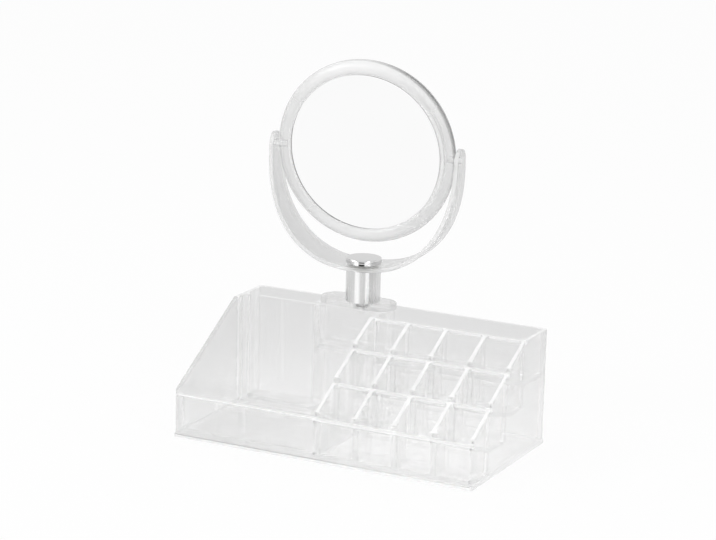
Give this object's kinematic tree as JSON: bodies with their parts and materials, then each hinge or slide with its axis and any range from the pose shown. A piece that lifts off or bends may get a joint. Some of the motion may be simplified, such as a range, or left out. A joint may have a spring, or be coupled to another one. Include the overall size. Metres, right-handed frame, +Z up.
{
  "type": "mirror_organiser",
  "caption": "Clear plastic make-up organiser with lipstick cells, an open tray and a round two-sided mirror that swivels and tilts in a U-shaped fork.",
  "frame": {"origin": "centre of the base plate's underside, the face it rests on", "axes": "+Z up, the low front wall faces -Y, +X towards the lipstick cells"},
  "size_m": [0.2216, 0.1248, 0.2523],
  "materials": {
    "clear_plastic": "clear, polished",
    "chrome_plate": "polished",
    "zinc_steel": "zinc plated",
    "nylon": "matte",
    "mirror_glass": "silvered glass",
    "foam": "soft foam"
  },
  "bodies": {
    "organiser": {"organiser_moulding": "clear_plastic", "base_plate": "clear_plastic", "mirror_seat": "clear_plastic", "post_sleeve": "chrome_plate", "post_screw": "zinc_steel", "seat_washer": "zinc_steel", "glide_ring_lower": "nylon", "glide_ring_upper": "nylon", "swivel_bush": "nylon", "swivel_cap": "chrome_plate"},
    "fork_body": {"fork": "clear_plastic", "pivot_pin_left": "clear_plastic", "pivot_pin_right": "clear_plastic"},
    "mirror_body": {"frame_front": "clear_plastic", "frame_rear": "clear_plastic", "plain_mirror": "mirror_glass", "magnifying_mirror": "mirror_glass", "mirror_pad": "foam"}
  },
  "joints": [
    {"name": "fork_swivel", "type": "hinge", "parent": "organiser", "child": "fork_body", "pos_m": [-0.023, 0.0465, 0.1088], "axis": [0, 0, 1], "continuous": true},
    {"name": "mirror_tilt", "type": "hinge", "parent": "fork_body", "child": "mirror_body", "pos_m": [-0.023, 0.0465, 0.1885], "axis": [0.9951, 0.0993, 0], "continuous": true}
  ]
}
